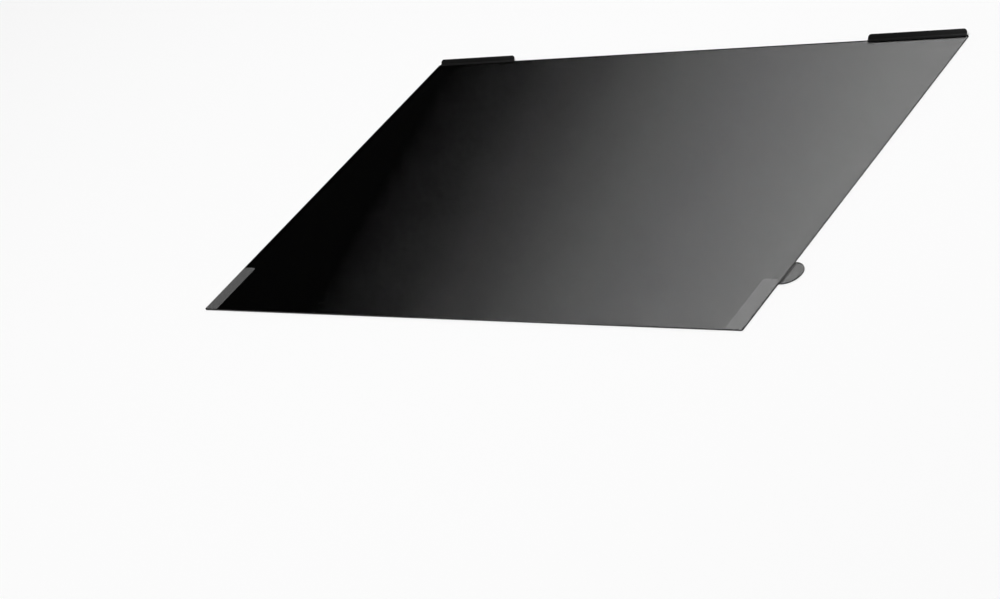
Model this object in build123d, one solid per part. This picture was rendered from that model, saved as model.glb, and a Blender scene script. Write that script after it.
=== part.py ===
from build123d import *

import os
from math import cos, radians, sin

# A flip-up privacy filter: a thin louvre film sheet that hangs from two folded film strips at its
# top corners. It lies on its back face. X runs along the width, Y towards the hung edge and Z out
# of the front face, from the middle of the back face. All sizes are in millimetres.

# Louvre film sheet
SHEET_WIDTH = 286.0
SHEET_HEIGHT = 179.0
SHEET_THICKNESS = 0.53
SHEET_CORNER_RADIUS = 0.8

# Grip tab, cut in one with the sheet on its right edge
TAB_WIDTH = 12.0
TAB_STRAIGHT = 0.9
TAB_ROOT_RADIUS = 0.4
TAB_ABOVE_BOTTOM = 31.8
CREASE_WIDTH = 0.9
CREASE_DEPTH = 0.16

# Hinge strips, each one film bent along the sheet's top edge
STRIP_LENGTH = 46.0
STRIP_THICKNESS = 0.25
STRIP_END_INSET = 1.0
FLANGE_WIDTH = 1.2
FLANGE_CORNER_RADIUS = 0.8
BEND_RADIUS = 0.4
FLAP_LENGTH = 2.0
FLAP_CORNER_RADIUS = 1.5
FOLD_ANGLE = 48.0

# Adhesive pads on the backs of the flaps
PAD_THICKNESS = 0.12
PAD_MARGIN = 0.2
PAD_CORNER_RADIUS = 0.5

# Stabiliser strips at the bottom corners of the front face
STABILISER_WIDTH = 7.0
STABILISER_LENGTH = 27.5
STABILISER_THICKNESS = 0.18
STABILISER_INSET = 0.4
STABILISER_TOP_RADIUS = 1.2

LEFT = -1
RIGHT = 1
SIDES = {"left": LEFT, "right": RIGHT}

right_edge = SHEET_WIDTH / 2
top_edge = SHEET_HEIGHT / 2
bottom_edge = -SHEET_HEIGHT / 2
front_face = SHEET_THICKNESS


def filter_sheet():
    """The louvre film with its half-round grip tab and the crease that lets the tab bend."""
    tab_y = bottom_edge + TAB_ABOVE_BOTTOM
    with BuildSketch() as outline:
        Rectangle(SHEET_WIDTH, SHEET_HEIGHT)
        fillet(outline.vertices(), SHEET_CORNER_RADIUS)
        with Locations((right_edge, tab_y)):
            Rectangle(2 * TAB_STRAIGHT, TAB_WIDTH)
        with Locations((right_edge + TAB_STRAIGHT, tab_y)):
            Circle(TAB_WIDTH / 2)
        tab_roots = outline.vertices().filter_by_position(
            Axis.Y, tab_y - TAB_WIDTH / 2, tab_y + TAB_WIDTH / 2
        )
        fillet(tab_roots.group_by(Axis.X)[0], TAB_ROOT_RADIUS)
    sheet = extrude(outline.sketch, SHEET_THICKNESS)

    with BuildSketch(Plane.XZ) as crease:
        with BuildLine():
            Polyline(
                (right_edge, front_face),
                (right_edge + CREASE_WIDTH / 2, front_face - CREASE_DEPTH),
                (right_edge + CREASE_WIDTH, front_face),
                close=True,
            )
        make_face()
    groove = extrude(crease.sketch, (TAB_WIDTH + 2 * TAB_ROOT_RADIUS) / 2, both=True)
    return sheet - Pos(0, tab_y, 0) * groove


def strip_middle_x(side):
    """The middle of a hinge strip, in from its own end of the top edge."""
    return side * (right_edge - STRIP_END_INSET - STRIP_LENGTH / 2)


def hinge_strip(side):
    """A flange bonded to the front face, a bend at the top edge and a free flap, in one film."""
    middle_z = front_face + STRIP_THICKNESS / 2
    with BuildSketch(Plane.YZ) as profile:
        with BuildLine():
            flange = Line((top_edge - FLANGE_WIDTH, middle_z), (top_edge, middle_z))
            bend = JernArc(flange @ 1, flange % 1, BEND_RADIUS + STRIP_THICKNESS / 2, FOLD_ANGLE)
            PolarLine(bend @ 1, FLAP_LENGTH, direction=bend % 1)
        trace(line_width=STRIP_THICKNESS)
    strip = extrude(profile.sketch, STRIP_LENGTH / 2, both=True)

    strip = fillet(strip.edges().filter_by(Axis.Z), FLANGE_CORNER_RADIUS)
    through_flap = Axis((0, 0, 0), (0, -sin(radians(FOLD_ANGLE)), cos(radians(FOLD_ANGLE))))
    strip = fillet(strip.edges().filter_by(through_flap), FLAP_CORNER_RADIUS)
    return Pos(strip_middle_x(side), 0, 0) * strip


def flap_back_plane(side):
    """The back of a flap, from the end of its bend, with Z facing away from the flap."""
    angle = radians(FOLD_ANGLE)
    outer_radius = BEND_RADIUS + STRIP_THICKNESS
    start = Vector(
        strip_middle_x(side),
        top_edge + outer_radius * sin(angle),
        front_face + outer_radius * (1 - cos(angle)),
    )
    return Plane(start, x_dir=(1, 0, 0), z_dir=(0, sin(angle), -cos(angle)))


def flap_pad(side):
    """The adhesive pad that fastens a flap to what the filter hangs from, between its round ends."""
    outline = RectangleRounded(
        STRIP_LENGTH - 2 * FLAP_CORNER_RADIUS, FLAP_LENGTH - 2 * PAD_MARGIN, PAD_CORNER_RADIUS
    )
    return flap_back_plane(side) * Pos(0, -FLAP_LENGTH / 2, 0) * extrude(outline, PAD_THICKNESS)


def stabiliser_strip(side):
    """A frosted film strip along a side edge, at a bottom corner of the front face."""
    with BuildSketch() as outline:
        Rectangle(STABILISER_WIDTH, STABILISER_LENGTH)
        fillet(outline.vertices().group_by(Axis.Y)[-1], STABILISER_TOP_RADIUS)
    middle_x = side * (right_edge - STABILISER_INSET - STABILISER_WIDTH / 2)
    middle_y = bottom_edge + STABILISER_INSET + STABILISER_LENGTH / 2
    return Pos(middle_x, middle_y, front_face) * extrude(outline.sketch, STABILISER_THICKNESS)


nodes = {"filter_sheet": filter_sheet()}
for name, side in SIDES.items():
    nodes[f"{name}_hinge_strip"] = hinge_strip(side)
    nodes[f"{name}_flap_pad"] = flap_pad(side)
    nodes[f"{name}_stabiliser_strip"] = stabiliser_strip(side)

os.makedirs("parts", exist_ok=True)
for name, shape in nodes.items():
    shape.label = name
    export_step(shape, f"parts/{name}.step")
    print(name, "volume", round(shape.volume, 3), "box", shape.bounding_box())
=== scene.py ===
# %% [markdown]
# # A flip-up privacy filter
# A privacy filter is a thin sheet of louvre film. Upright black slats, each thinner than a hair, stand
# inside the clear film like the blades of a blind. From straight in front the eye looks between them and
# the sheet is clear. From the side each slat covers the gap behind it, and the sheet turns black.
#
# This lesson dresses a measured model of one. Its pieces are the film with its half-round grip tab, the
# slats in it, two folded hinge strips at the top corners, an adhesive pad behind each flap, and a
# frosted strip at each bottom corner.

# %% [markdown]
# ## The measured model
# The outline, the thickness and the folds come from a solid model at its real size. Copying them by eye
# would bring small misfits, so the model is loaded as a fixed frame and every piece here is made on it.
# Lengths are in metres. X runs along the width, Y towards the hung edge and Z out of the front face, from
# the middle of the back face. The Standard view transform shows a colour as it is written.

# %% Load the measured model
from math import cos, radians, sin

import bmesh
import bpy
from mathutils import Matrix, Vector


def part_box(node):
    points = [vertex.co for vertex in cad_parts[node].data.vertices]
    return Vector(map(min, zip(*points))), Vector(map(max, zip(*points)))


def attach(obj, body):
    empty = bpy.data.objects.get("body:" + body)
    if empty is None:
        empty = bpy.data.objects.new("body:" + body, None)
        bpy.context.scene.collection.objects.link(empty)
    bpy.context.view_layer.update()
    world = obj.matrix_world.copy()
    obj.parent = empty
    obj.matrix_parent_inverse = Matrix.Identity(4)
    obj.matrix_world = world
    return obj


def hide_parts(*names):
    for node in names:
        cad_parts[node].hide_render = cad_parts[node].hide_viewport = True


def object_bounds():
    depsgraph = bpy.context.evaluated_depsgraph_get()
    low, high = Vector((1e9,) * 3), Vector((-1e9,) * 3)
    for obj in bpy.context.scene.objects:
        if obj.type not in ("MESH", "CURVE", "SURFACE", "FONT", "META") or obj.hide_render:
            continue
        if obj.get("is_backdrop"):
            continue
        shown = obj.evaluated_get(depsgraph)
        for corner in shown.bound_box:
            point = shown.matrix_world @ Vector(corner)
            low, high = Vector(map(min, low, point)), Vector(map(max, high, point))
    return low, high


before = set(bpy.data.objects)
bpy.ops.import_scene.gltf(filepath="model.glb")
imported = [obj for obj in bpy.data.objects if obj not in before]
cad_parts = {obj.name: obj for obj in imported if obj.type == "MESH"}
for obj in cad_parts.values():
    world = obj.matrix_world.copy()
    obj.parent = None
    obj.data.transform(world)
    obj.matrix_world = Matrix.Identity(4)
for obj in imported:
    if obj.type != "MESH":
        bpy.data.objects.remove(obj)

scene = bpy.context.scene
scene.view_settings.view_transform = "Standard"
cad_low, cad_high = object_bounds()
print("nodes:", ", ".join(sorted(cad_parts)))
print("box in millimetres:", [round(1000 * side, 2) for side in cad_high - cad_low])

# %% Places on the sheet that later steps share
sheet_low, sheet_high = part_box("filter_sheet")
right_edge = -sheet_low.x
tab_tip = sheet_high.x
hung_edge = sheet_high.y
front_face = sheet_high.z
print("sheet", round(2000 * right_edge, 1), "x", round(2000 * hung_edge, 1), "mm")
print("the tab stands out by", round(1000 * (tab_tip - right_edge), 2), "mm")

# %% [markdown]
# ## Sums on sockets
# A finish is a small sum, such as noise times a depth plus a base value. Each sum could be clicked
# together from Math nodes, but that is slow to write and hard to read. A short class that wraps a socket
# and knows plus, minus, times, divide and power lets the sum stand in Python as it would on paper. The
# same class builds the Geometry Nodes tree further down.

# %% Wrap a socket so that it can be added and multiplied
class Wire:
    """One output socket of a node tree, or the tree alone, on which sums and nodes are built."""

    def __init__(self, tree, socket=None):
        self.tree = tree
        self.socket = socket

    def node(self, kind, settings=None, sockets=None, output=0):
        """Adds a node: its settings, then a value, a link or a list of links for each input."""
        made = self.tree.nodes.new(kind)
        for name, value in (settings or {}).items():
            if name == "stops":
                fill_ramp(made.color_ramp, value)
            else:
                setattr(made, name, value)
        for key, value in (sockets or {}).items():
            parts = value if isinstance(value, list) else [value]
            for part in parts:
                if isinstance(part, Wire):
                    self.tree.links.new(part.socket, made.inputs[key])
                else:
                    made.inputs[key].default_value = part
        return Wire(self.tree, made.outputs[output] if made.outputs else None)

    def beside(self, output):
        """Another output of the node that this one comes from."""
        return Wire(self.tree, self.socket.node.outputs[output])

    def math(self, operation, first, second=0.0):
        return self.node("ShaderNodeMath", {"operation": operation}, {0: first, 1: second})

    def vector(self, operation, first, second, output=0):
        return self.node("ShaderNodeVectorMath", {"operation": operation}, {0: first, 1: second}, output)

    def __add__(self, other):
        return self.math("ADD", self, other)

    def __radd__(self, other):
        return self.math("ADD", other, self)

    def __sub__(self, other):
        return self.math("SUBTRACT", self, other)

    def __rsub__(self, other):
        return self.math("SUBTRACT", other, self)

    def __mul__(self, other):
        return self.math("MULTIPLY", self, other)

    def __rmul__(self, other):
        return self.math("MULTIPLY", other, self)

    def __truediv__(self, other):
        return self.math("DIVIDE", self, other)

    def __rtruediv__(self, other):
        return self.math("DIVIDE", other, self)

    def __pow__(self, other):
        return self.math("POWER", self, other)

    def __rpow__(self, other):
        return self.math("POWER", other, self)


def fill_ramp(ramp, stops):
    """Gives a colour ramp its stops, each a place and a colour."""
    while len(ramp.elements) < len(stops):
        ramp.elements.new(1.0)
    for element, (place, colour) in zip(ramp.elements, stops):
        element.position = place
        element.color = colour


print("a Wire adds, subtracts, multiplies, divides and raises to a power")

# %% [markdown]
# ## What every finish needs
# No plastic film is one even colour. Rolling, coating and cutting leave a grain a tenth of a millimetre
# wide, and it shows as a slight change of tone and gloss. A painted image could hold it, but at this
# grain it would have to be huge. Noise on the piece's own coordinates has no size limit, so each finish
# below starts from one noise and lets it move the tone, the roughness or the height a little.

# %% Small helpers for materials
FILM_GRAIN = 0.00011
TONE_FROM = 0.3
TONE_TO = 0.7


def grey(value):
    return (value, value, value, 1.0)


def new_material(name):
    """An empty node material and a Wire to build it on."""
    material = bpy.data.materials.new(name)
    material.use_nodes = True
    material.node_tree.nodes.clear()
    return material, Wire(material.node_tree)


def show(wire, shader):
    """Sends a shader to the material's output."""
    wire.node("ShaderNodeOutputMaterial", None, {"Surface": shader})


def own_place(wire):
    """The piece's own coordinates, in metres."""
    return wire.node("ShaderNodeTexCoord", None, None, "Object")


def grain(wire, width=FILM_GRAIN, drawn_out=1.0):
    """Noise from 0 to 1 with features of that width in metres, drawn out along X by a factor."""
    stretched = wire.node(
        "ShaderNodeMapping", None, {"Vector": own_place(wire), "Scale": (1 / drawn_out, 1, 1)}
    )
    return wire.node(
        "ShaderNodeTexNoise", {"noise_dimensions": "3D"},
        {"Vector": stretched, "Scale": 1 / width, "Detail": 2.0, "Roughness": 0.5},
    )


def tone(wire, amount, dark, pale):
    """A colour that goes from dark to pale over the middle of an amount's range."""
    stops = [(TONE_FROM, dark), (TONE_TO, pale)]
    return wire.node("ShaderNodeValToRGB", {"stops": stops}, {"Fac": amount})


def between(limits, amount):
    """A value that goes from the first limit to the second as an amount goes from 0 to 1."""
    first, second = limits
    return first + (second - first) * amount


print("grain", round(1000 * FILM_GRAIN, 2), "mm wide")

# %% [markdown]
# ## The clear film
# The sheet's two faces are hard-coated polyester. They pass light straight on and mirror a little of the
# room, more at a glancing look. A glass shader bends light and would throw the lamp's light about as
# noise. A Transparent shader keeps the view straight and lets the lamp shine through to the slats and the
# floor, so it is mixed with a Glossy one. The mirror's share follows Schlick's rule on the Facing value,
# and an anti-glare coat takes most of the mirror image away, so the Glossy colour is dark.
#
# The tab has a crease at its root, so that it bends there. Painted shade darkens the crease into a dark
# line: its slopes get the same finish with a darker see-through colour.

# %% Finish of the clear faces and of the crease
FILM_MIRROR = 0.012
FILM_SHEEN = grey(0.3)
FILM_CLEAR = grey(0.95)
# The crease's darker see-through colour is painted shade.
CREASE_SHADE_CLEAR = grey(0.36)
FILM_ROUGHNESS = (0.16, 0.24)
SCHLICK_POWER = 5


def clear_film_finish(name, clear):
    """Clear plastic that passes light straight on and mirrors more of it at a glancing look."""
    material, wire = new_material(name)
    facing = wire.node("ShaderNodeLayerWeight", None, {"Blend": 0.5}, "Facing")
    mirror = FILM_MIRROR + (1 - FILM_MIRROR) * facing ** SCHLICK_POWER
    through = wire.node("ShaderNodeBsdfTransparent", None, {"Color": clear})
    sheen = wire.node(
        "ShaderNodeBsdfGlossy", None,
        {"Color": FILM_SHEEN, "Roughness": between(FILM_ROUGHNESS, grain(wire))},
    )
    show(wire, wire.node("ShaderNodeMixShader", None, {0: mirror, 1: through, 2: sheen}))
    return material


clear_film = clear_film_finish("clear_film", FILM_CLEAR)
crease_shade_film = clear_film_finish("crease_shade_film", CREASE_SHADE_CLEAR)
print("made", clear_film.name, "and", crease_shade_film.name)

# %% [markdown]
# ## The cut edge
# Cut through, the sheet shows its layers: a dark core with the slats in it, between two skins that look
# grey from the side. Each layer could be a mesh of its own, but they are bonded and never part. A ramp on
# the height above the back face draws the bands on one rim.

# %% Finish of the cut edge
SKIN_THICKNESS = 0.0001
SKIN_BLEND = 0.00002
SKIN_GREY = grey(0.03)
CORE_BLACK = grey(0.008)
CUT_ROUGHNESS = (0.42, 0.58)


def cut_edge_finish():
    """A dark core between two grey skins, told apart by height."""
    material, wire = new_material("cut_edge")
    height = wire.node("ShaderNodeSeparateXYZ", None, {0: own_place(wire)}, "Z") / front_face
    skin = (SKIN_THICKNESS - SKIN_BLEND) / front_face
    core = (SKIN_THICKNESS + SKIN_BLEND) / front_face
    bands = [(skin, SKIN_GREY), (core, CORE_BLACK), (1 - core, CORE_BLACK), (1 - skin, SKIN_GREY)]
    layers = wire.node("ShaderNodeValToRGB", {"stops": bands}, {"Fac": height})
    show(wire, wire.node(
        "ShaderNodeBsdfPrincipled", None,
        {
            "Base Color": layers,
            "Roughness": between(CUT_ROUGHNESS, grain(wire)),
            "Specular IOR Level": 0.3,
        },
    ))
    return material


cut_edge = cut_edge_finish()
print("made", cut_edge.name, "with skins", round(1000 * SKIN_THICKNESS, 2), "mm thick")

# %% [markdown]
# ## The sheet
# The film is die-cut, so its outline is exact but its rim isn't razor sharp. The measured node already
# has the outline, the tab and the crease, so its mesh is copied. A copy of it comes as loose triangles:
# they are welded, joined into flat faces, and the sharp edges get a small round, because an edge with no
# round at all never catches a highlight.

# %% Copy a measured node with its sharp edges rounded
WELD_DISTANCE = 1e-7
SAME_PLANE = radians(0.5)
EASE_SEGMENTS = 2


def eased_copy(node, name, ease, sharp=35.0):
    """A new object with a measured node's shape, in whole faces and with its sharp edges rounded."""
    shape = bmesh.new()
    shape.from_mesh(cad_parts[node].data)
    bmesh.ops.remove_doubles(shape, verts=shape.verts, dist=WELD_DISTANCE)
    bmesh.ops.dissolve_limit(shape, angle_limit=SAME_PLANE, verts=shape.verts, edges=shape.edges)
    corners = [edge for edge in shape.edges if edge.calc_face_angle(0) > radians(sharp)]
    bmesh.ops.bevel(
        shape, geom=corners, offset=ease, segments=EASE_SEGMENTS, profile=0.5, affect="EDGES",
        clamp_overlap=True,
    )
    mesh = bpy.data.meshes.new(name)
    shape.to_mesh(mesh)
    shape.free()
    mesh.shade_smooth()
    mesh.set_sharp_from_angle(angle=radians(sharp))
    piece = bpy.data.objects.new(name, mesh)
    scene.collection.objects.link(piece)
    return piece


print("edges rounded in", EASE_SEGMENTS, "steps")

# %% Give a piece its finishes, check it and hand it over
def give_finishes(piece, finishes, choose=lambda face: 0):
    """Puts finishes on a piece, with a rule that chooses one of them for each face."""
    for finish in finishes:
        piece.data.materials.append(finish)
    for face in piece.data.polygons:
        face.material_index = choose(face)


def open_edges(mesh):
    """How many edges aren't shared by two faces. A closed mesh has none."""
    shape = bmesh.new()
    shape.from_mesh(mesh)
    count = sum(not edge.is_manifold for edge in shape.edges)
    shape.free()
    return count


def hand_over(piece, slot, *nodes):
    """Tells the frame a piece's body and hides the nodes that it stands for. The slot is not used."""
    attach(piece, "root")
    if nodes:
        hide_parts(*nodes)
    print(piece.name, len(piece.data.polygons), "faces,", open_edges(piece.data), "open edges")


print("helpers:", give_finishes.__name__, open_edges.__name__, hand_over.__name__)

# %% The film, from a copy of the measured sheet
CREASE_WIDTH = 0.0009
FILM_EASE = 0.00003
FLAT = 0.98
GENTLE_SLOPE = 0.9


def film_finish_number(face):
    """0 on the flat faces, 2 on the slopes of the crease, which carry painted shade, 1 on the cut edge."""
    if abs(face.normal.z) > FLAT:
        return 0
    in_crease = 0 < face.center.x - right_edge < CREASE_WIDTH
    # The crease's slopes get the finish with painted shade.
    return 2 if in_crease and face.normal.z > GENTLE_SLOPE else 1


film = eased_copy("filter_sheet", "film", FILM_EASE, sharp=20.0)
give_finishes(film, [clear_film, cut_edge, crease_shade_film], film_finish_number)
hand_over(film, "louvre_film", "filter_sheet")

# %% [markdown]
# ## The slats
# The slats are what makes the film private. They could be faked by a shader that darkens with the view
# angle, but then the film would be dark for the eye and not for the lamp, and the trick would be lost in
# other programs. Real slats need no trick: each is a thin upright wall, and the light and the view are
# both cut off by geometry.
#
# A gap closes when the look's slope across the slats equals the gap divided by the slat's depth. The
# slope at which the sheet turns black is known from how it looks, so the depth follows from it. The edge
# of the black zone slants across the sheet, and the rows are turned from the side edges by that angle.
#
# With slats of one depth all gaps close at once, and the black begins at a hard line. So three depths
# follow each other in turn, neighbouring gaps close at three slopes, and the sheet fades to black evenly.
# The turn and the depths are fitted to the look of one sheet and not measured on a film.

# %% Sizes of the slats
SLAT_PITCH = 0.0001
SLAT_THICKNESS = 0.000008
SLAT_PARTS = 5
SLAT_TURN = radians(17.7)
CUT_OFF_SLOPE = 1.14
SLAT_DEPTH = (SLAT_PITCH - SLAT_THICKNESS) / CUT_OFF_SLOPE
DEPTH_STEP = 0.16
DEPTHS_IN_TURN = 3
SLAT_BORDER = 0.0001
SLAT_SHORTEST = 0.0006

slat_sizes = {
    "Pitch": SLAT_PITCH,
    "Thickness": SLAT_THICKNESS,
    "Depth": SLAT_DEPTH,
    "Depth Step": DEPTH_STEP,
    "Parts": SLAT_PARTS,
    "Turn": SLAT_TURN,
    "Border": SLAT_BORDER,
    "Shortest": SLAT_SHORTEST,
    "Layer Height": front_face / 2,
    "Reach": Vector((tab_tip, hung_edge)).length,
}
print("slats", round(1e6 * SLAT_DEPTH), "micrometres deep,", round(1e6 * SLAT_PITCH), "apart")

# %% Finish of the slats
SLAT_DARK = grey(0.001)
SLAT_PALE = grey(0.002)
SLAT_ROUGHNESS = (0.5, 0.7)


def slat_finish():
    """Carbon black, with next to no gloss."""
    material, wire = new_material("slat_black")
    noise = grain(wire)
    show(wire, wire.node(
        "ShaderNodeBsdfPrincipled", None,
        {
            "Base Color": tone(wire, noise, SLAT_DARK, SLAT_PALE),
            "Roughness": between(SLAT_ROUGHNESS, noise),
            "Specular IOR Level": 0.0,
        },
    ))
    return material


slat_black = slat_finish()
print("made", slat_black.name)

# %% [markdown]
# ## A node tree for the slats
# There are over three thousand slats and they follow one rule, so Geometry Nodes make them. A loop in
# Python could too, but the tree keeps the rule and its sizes together: each size is a named input, and a
# film of another size needs no change in the tree.

# %% A tree with named inputs
def tree_with_inputs(name, kinds):
    """A new tree that gives geometry, and its named inputs, ready for sums."""
    tree = bpy.data.node_groups.new(name, "GeometryNodeTree")
    for label, kind in kinds.items():
        tree.interface.new_socket(label, in_out="INPUT", socket_type=kind)
    tree.interface.new_socket("Geometry", in_out="OUTPUT", socket_type="NodeSocketGeometry")
    given = tree.nodes.new("NodeGroupInput")
    return tree, {socket.name: Wire(tree, socket) for socket in given.outputs if socket.name}


slat_inputs = {
    "Film": "NodeSocketGeometry",
    **{name: "NodeSocketFloat" for name in slat_sizes},
    "Finish": "NodeSocketMaterial",
}
slat_tree, size = tree_with_inputs("louvre_slats", slat_inputs)
slat_wire = Wire(slat_tree)
print(slat_tree.name, "takes", ", ".join(size))

# %% [markdown]
# A row of points stands above the sheet's outline, one for each slat. From each point a ray runs down the
# slat's line. A slat begins where the ray meets the film's rim and ends where it meets the rim again, and
# two more hits on the same line are the ends of a slat in the tab. So the slats follow the round corners
# and the tab by themselves, with no sum for each shape. Each ray starts a hair past the hit before it,
# because it would meet the same rim again otherwise.

# %% A row of points, and rays from them to the rim
RAY_STEP = 0.000002
HITS_ON_A_LINE = 4


def turned(across, along, up=0.0):
    """A vector given across and along the slats, in the sheet's own axes."""
    straight = slat_wire.node("ShaderNodeCombineXYZ", None, {"X": across, "Y": along, "Z": up})
    return slat_wire.node(
        "ShaderNodeVectorRotate", {"rotation_type": "Z_AXIS"},
        {"Vector": straight, "Angle": size["Turn"]},
    )


def next_rim(start):
    """Where a ray down a slat's line meets the film's rim, just past its start."""
    return slat_wire.node(
        "GeometryNodeRaycast", None,
        {
            "Target Geometry": size["Film"],
            "Source Position": slat_wire.vector("ADD", start, turned(0.0, -RAY_STEP)),
            "Ray Direction": turned(0.0, -1.0),
            "Ray Length": 4 * size["Reach"],
        },
        "Hit Position",
    )


row = slat_wire.node(
    "GeometryNodeMeshLine", {"mode": "OFFSET"},
    {
        "Count": slat_wire.math("FLOOR", 2 * size["Reach"] / size["Pitch"]),
        "Start Location": turned(0 - size["Reach"], size["Reach"], size["Layer Height"]),
        "Offset": turned(size["Pitch"], 0.0),
    },
)
rims = [next_rim(slat_wire.node("GeometryNodeInputPosition"))]
while len(rims) < HITS_ON_A_LINE:
    rims.append(next_rim(rims[-1]))
print("hits looked for on each line:", len(rims))

# %% [markdown]
# Between two hits stands one slat: a unit cube on the row's point, turned, scaled and then moved to the
# middle of the two hits. A line that only grazes a round rim gets none.
#
# Each cube is cut into a few lengths. A renderer finds faces by boxes around them that lie square to the
# axes, and the box of a long slanting face is wide and overlaps hundreds of others.

# %% A slat between each two hits
def slats_between(top, foot):
    """A slat on each line from one rim to the next, less a border at both ends."""
    length = slat_wire.vector("DISTANCE", top, foot, "Value") - 2 * size["Border"]
    long_enough = slat_wire.math("GREATER_THAN", length, size["Shortest"])
    in_turn = slat_wire.math("MODULO", slat_wire.node("GeometryNodeInputIndex"), DEPTHS_IN_TURN) - 1
    depth = size["Depth"] * (1 + size["Depth Step"] * in_turn)
    cube = slat_wire.node(
        "GeometryNodeMeshCube", None, {"Size": (1, 1, 1), "Vertices Y": size["Parts"] + 1}
    )
    walls = slat_wire.node(
        "GeometryNodeInstanceOnPoints", None,
        {
            "Points": row,
            "Selection": long_enough * top.beside("Is Hit") * foot.beside("Is Hit"),
            "Instance": cube,
            "Rotation": slat_wire.node("ShaderNodeCombineXYZ", None, {"Z": size["Turn"]}),
            "Scale": slat_wire.node(
                "ShaderNodeCombineXYZ", None, {"X": size["Thickness"], "Y": length, "Z": depth}
            ),
        },
    )
    middle = slat_wire.vector("MULTIPLY", slat_wire.vector("ADD", top, foot), (0.5, 0.5, 0.5))
    return slat_wire.node("GeometryNodeSetPosition", None, {"Geometry": walls, "Position": middle})


both_sets = [slats_between(rims[0], rims[1]), slats_between(rims[2], rims[3])]
joined = slat_wire.node("GeometryNodeJoinGeometry", None, {"Geometry": both_sets})
solid = slat_wire.node("GeometryNodeRealizeInstances", None, {"Geometry": joined})
dressed = slat_wire.node("GeometryNodeSetMaterial", None, {"Geometry": solid, "Material": size["Finish"]})
slat_wire.node("NodeGroupOutput", None, {"Geometry": dressed})
print(slat_tree.name, "has", len(slat_tree.nodes), "nodes")

# %% The slats, grown by the tree and kept as a plain mesh
def grow(tree, name, start, values):
    """Runs a node tree on a copy of a mesh and keeps the result as a plain mesh object."""
    piece = bpy.data.objects.new(name, start.copy())
    scene.collection.objects.link(piece)
    modifier = piece.modifiers.new("nodes", "NODES")
    modifier.node_group = tree
    for item in tree.interface.items_tree:
        if item.name in values:
            modifier[item.identifier] = values[item.name]
    evaluated = piece.evaluated_get(bpy.context.evaluated_depsgraph_get())
    mesh = bpy.data.meshes.new_from_object(evaluated)
    piece.modifiers.remove(modifier)
    piece.data = mesh
    return piece


slats = grow(slat_tree, "slats", film.data, {**slat_sizes, "Finish": slat_black})
hand_over(slats, "louvre_film")

# %% [markdown]
# ## The hinge strips
# Each hinge is one strip of black polyester. A narrow flange is bonded to the front of the sheet, the
# strip bends up at the hung edge, and its flap is pressed on to what the filter hangs from. The strip
# bends and no part of it turns on a pin, so it is one piece.
#
# Rolled film has a grain drawn out along the roll, and a bend polishes it and whitens it slightly with
# stress.
# Noise that is stretched along X gives the grain. The bend lies at one place along Y, so the distance from
# that line tells the finish where to be shinier and paler. The paler line is partly stress whitening and
# partly a painted highlight.

# %% Finish of the hinge strips
BEND_PAST_EDGE = 0.0002
BEND_MIDDLE = hung_edge + BEND_PAST_EDGE
BEND_HALF_WIDTH = 0.0004
ROLL_GRAIN = 0.00008
ROLL_DRAWN_OUT = 9.0
ROLL_HEIGHT = 0.000004
HINGE_DARK = grey(0.0025)
HINGE_PALE = grey(0.006)
HINGE_ROUGHNESS = (0.44, 0.60)
BEND_POLISH = 0.12
GRAIN_SHARE = 0.8
# How much paler the bend is: stress whitening and partly a painted highlight.
BEND_WHITENING_AND_HIGHLIGHT = 0.4


def hinge_film_finish():
    """Matt black film with a drawn grain, shinier along the bend and paler there: stress whitening and a
    painted highlight.
    """
    material, wire = new_material("hinge_film")
    noise = grain(wire, ROLL_GRAIN, ROLL_DRAWN_OUT)
    off_bend = wire.node("ShaderNodeSeparateXYZ", None, {0: own_place(wire)}, "Y") - BEND_MIDDLE
    far = wire.math("MINIMUM", wire.math("ABSOLUTE", off_bend) / BEND_HALF_WIDTH, 1.0)
    bend = 1 - far
    ridges = wire.node(
        "ShaderNodeBump", None, {"Strength": 1.0, "Distance": ROLL_HEIGHT, "Height": noise}
    )
    show(wire, wire.node(
        "ShaderNodeBsdfPrincipled", None,
        {
            "Base Color": tone(wire, GRAIN_SHARE * noise + BEND_WHITENING_AND_HIGHLIGHT * bend, HINGE_DARK, HINGE_PALE),
            "Roughness": between(HINGE_ROUGHNESS, noise) - BEND_POLISH * bend,
            "Specular IOR Level": 0.16,
            "Normal": ridges,
        },
    ))
    return material


hinge_film = hinge_film_finish()
print("made", hinge_film.name, "with its bend at Y", round(1000 * BEND_MIDDLE, 2), "mm")

# %% The two hinge strips
SIDES = ("left", "right")
STRIP_EASE = 0.00004

for side in SIDES:
    strip = eased_copy(f"{side}_hinge_strip", f"{side}_hinge", STRIP_EASE)
    give_finishes(strip, [hinge_film])
    hand_over(strip, "black_film", f"{side}_hinge_strip")

# %% [markdown]
# ## The adhesive pads
# The back of each flap carries a strip of soft acrylic adhesive, milky and slightly tacky, with tiny
# bubbles trapped when it was laid on. Modelling each bubble would cost thousands of faces for something
# a tenth of a millimetre wide. Voronoi cells give round spots at random places, so they set both the
# paler tone and the small dents.

# %% Finish and shape of the pads
BUBBLE_SPACING = 0.0004
BUBBLE_SIZE = 0.35
BUBBLE_DEPTH = 0.00002
PAD_EASE = 0.00003
PAD_ROUGHNESS = (0.3, 0.5)
PAD_MILKY = (0.70, 0.69, 0.64, 1.0)
BUBBLE_PALE = (0.82, 0.81, 0.77, 1.0)


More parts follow.
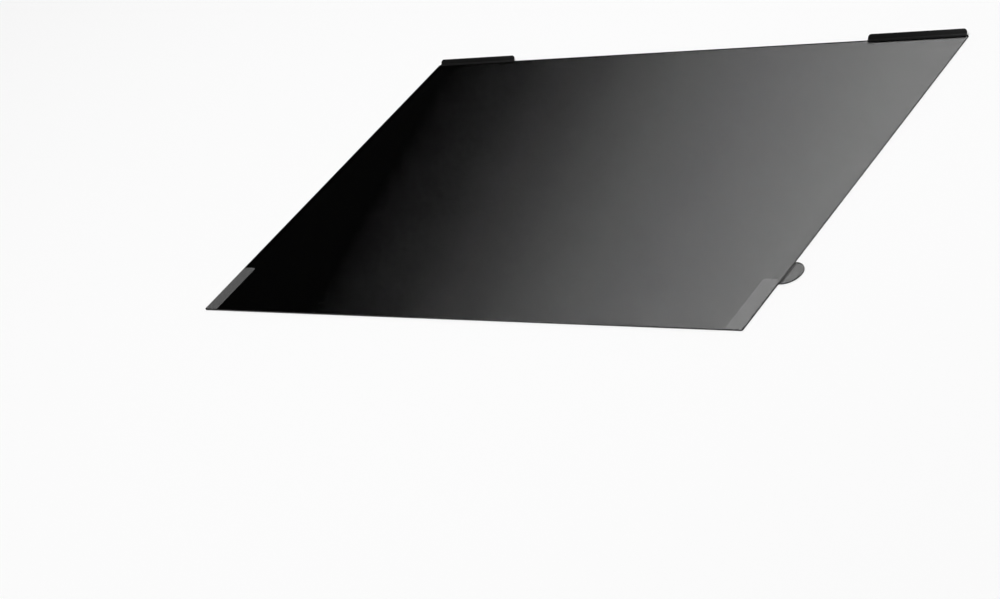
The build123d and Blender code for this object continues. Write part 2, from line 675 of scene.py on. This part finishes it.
def adhesive_finish():
    """Milky adhesive with small trapped bubbles."""
    material, wire = new_material("pad_adhesive")
    from_bubble = wire.node(
        "ShaderNodeTexVoronoi", {"feature": "F1"},
        {"Vector": own_place(wire), "Scale": 1 / BUBBLE_SPACING}, "Distance",
    )
    outside = wire.math("MINIMUM", from_bubble / BUBBLE_SIZE, 1.0)
    dents = wire.node(
        "ShaderNodeBump", None, {"Strength": 1.0, "Distance": BUBBLE_DEPTH, "Height": outside}
    )
    show(wire, wire.node(
        "ShaderNodeBsdfPrincipled", None,
        {
            "Base Color": tone(wire, outside, BUBBLE_PALE, PAD_MILKY),
            "Roughness": between(PAD_ROUGHNESS, grain(wire)),
            "Normal": dents,
        },
    ))
    return material


adhesive = adhesive_finish()
for side in SIDES:
    pad = eased_copy(f"{side}_flap_pad", f"{side}_pad", PAD_EASE)
    give_finishes(pad, [adhesive])
    hand_over(pad, "adhesive", f"{side}_flap_pad")

# %% [markdown]
# ## The frosted strips
# A strip of frosted film on each bottom corner stiffens the free edge. Its blasted face scatters a
# little of the light and passes the rest, so the louvre film shows through it under a grey veil. A rough
# glass shader would need many samples to settle. A low Alpha on a white matt surface gives the same veil,
# and a fine grain in the Alpha gives the frost. Seen through its cut edge the film is thicker, so the
# edge has a stronger veil.

# %% Finish and shape of the frosted strips
FACE_VEIL = 0.041
EDGE_VEIL = 0.12
STABILISER_EASE = 0.00004
FROST_DARK = grey(0.84)
FROST_PALE = grey(0.90)
FROST_ROUGHNESS = (0.55, 0.70)
FROST_UNEVEN = 1.6


def frosted_finish(name, veil):
    """White scattering film that veils what is under it, unevenly as frost does."""
    material, wire = new_material(name)
    noise = grain(wire)
    show(wire, wire.node(
        "ShaderNodeBsdfPrincipled", None,
        {
            "Base Color": tone(wire, noise, FROST_DARK, FROST_PALE),
            "Roughness": between(FROST_ROUGHNESS, noise),
            "Alpha": veil * (1 + FROST_UNEVEN * noise),
            "Specular IOR Level": 0.3,
        },
    ))
    return material


def frost_finish_number(face):
    """0 on the flat faces, 1 on the cut edge."""
    return 0 if abs(face.normal.z) > FLAT else 1


frosted_face = frosted_finish("frosted_face", FACE_VEIL)
frosted_edge = frosted_finish("frosted_edge", EDGE_VEIL)
for side in SIDES:
    strip = eased_copy(f"{side}_stabiliser_strip", f"{side}_stabiliser", STABILISER_EASE)
    give_finishes(strip, [frosted_face, frosted_edge], frost_finish_number)
    hand_over(strip, "frosted_film", f"{side}_stabiliser_strip")

# %% [markdown]
# ## The floor
# The filter lies on a plain pale table top. A sheet this thin throws hardly any shadow, so the floor has
# to lie right under it. It is set a tenth of a millimetre lower, because two faces in one plane flicker.

# %% A plain pale floor
FLOOR_SIZE = 40.0
FLOOR_DROP = 0.0001
FLOOR_PALE = grey(0.95)
FLOOR_ROUGHNESS = 0.9


def floor_finish():
    """Pale matt paint, with no gloss that could show the room."""
    material, wire = new_material("floor_paint")
    show(wire, wire.node(
        "ShaderNodeBsdfPrincipled", None,
        {"Base Color": FLOOR_PALE, "Roughness": FLOOR_ROUGHNESS, "Specular IOR Level": 0.0},
    ))
    return material


bpy.ops.mesh.primitive_plane_add(size=FLOOR_SIZE, location=(0, 0, -FLOOR_DROP))
floor = bpy.context.object
floor.name = "floor"
floor.data.materials.append(floor_finish())
floor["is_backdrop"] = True
print("floor", FLOOR_SIZE, "m wide")

# %% [markdown]
# ## The light
# One large softbox hangs overhead, so that light falls between the slats and reaches the floor under the
# film. A glossy sheet also shows whatever stands opposite the viewer. With an even white room the closed
# slats would look grey, so a studio hangs black cloth there. The world does the same: it is pale near the
# horizon, dark where a viewer's look is mirrored, and paler again overhead.

# %% The room and the softbox
ROOM_BY_HEIGHT = [
    (0.0, grey(0.75)),
    (0.14, grey(0.6)),
    (0.26, grey(0.02)),
    (0.62, grey(0.02)),
    (0.85, grey(0.3)),
]
SOFTBOX_WIDTH = 1.5
SOFTBOX_LENGTH = 3.0
SOFTBOX_HEIGHT = 3.0
SOFTBOX_POWER = 91.0

room = bpy.data.worlds.new("studio")
room.use_nodes = True
room.node_tree.nodes.clear()
scene.world = room
wire = Wire(room.node_tree)
direction = wire.node("ShaderNodeTexCoord", None, None, "Generated")
height = wire.node("ShaderNodeSeparateXYZ", None, {0: direction}, "Z")
glow = wire.node("ShaderNodeValToRGB", {"stops": ROOM_BY_HEIGHT}, {"Fac": height})
backdrop = wire.node("ShaderNodeBackground", None, {"Color": glow})
wire.node("ShaderNodeOutputWorld", None, {"Surface": backdrop})

softbox_light = bpy.data.lights.new("softbox", "AREA")
softbox_light.shape = "RECTANGLE"
softbox_light.size = SOFTBOX_WIDTH
softbox_light.size_y = SOFTBOX_LENGTH
softbox_light.energy = SOFTBOX_POWER
softbox = bpy.data.objects.new("softbox", softbox_light)
softbox.location = (0, 0, SOFTBOX_HEIGHT)
scene.collection.objects.link(softbox)
print("softbox", SOFTBOX_WIDTH, "x", SOFTBOX_LENGTH, "m,", SOFTBOX_HEIGHT, "m up")

# %% [markdown]
# ## The camera
# The filter is seen from the tab's side, from above, with the hung edge along the top of the picture. On
# the floor that is a look down at the sheet with the camera rolled to one side. A long lens from a metre
# away keeps the far and near edges close to parallel. The angles and the distance were found by fitting
# the four corners of the sheet.

# %% The camera
AZIMUTH = 50.83
ELEVATION = 28.08
ROLL = -28.24
DISTANCE = 0.9604
LENS = 90.45
AIM = Vector((0.01853, -0.07664, 0.0))
SENSOR_WIDTH = 36.0

camera_data = bpy.data.cameras.new("camera")
camera_data.sensor_width = SENSOR_WIDTH
camera_data.lens = LENS
camera = bpy.data.objects.new("camera", camera_data)
scene.collection.objects.link(camera)
azimuth = radians(AZIMUTH)
elevation = radians(ELEVATION)
back = Vector((sin(azimuth) * cos(elevation), -cos(azimuth) * cos(elevation), sin(elevation)))
level = (-back).to_track_quat("-Z", "Y").to_matrix()
rolled = level @ Matrix.Rotation(radians(ROLL), 3, "Z")
camera.matrix_world = Matrix.LocRotScale(AIM + DISTANCE * back, rolled, None)
scene.camera = camera
print("camera at", [round(value, 3) for value in camera.matrix_world.translation])

# %% [markdown]
# ## Sizes
# Dressing a part mustn't change its size. The largest change between the box of the finished pieces and
# the box of the measured model is printed, and it should be a fraction of a millimetre.

# %% Compare the boxes
low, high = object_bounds()
change = max((low - cad_low).length, (high - cad_high).length)
print("largest change in millimetres:", round(1000 * change, 4))
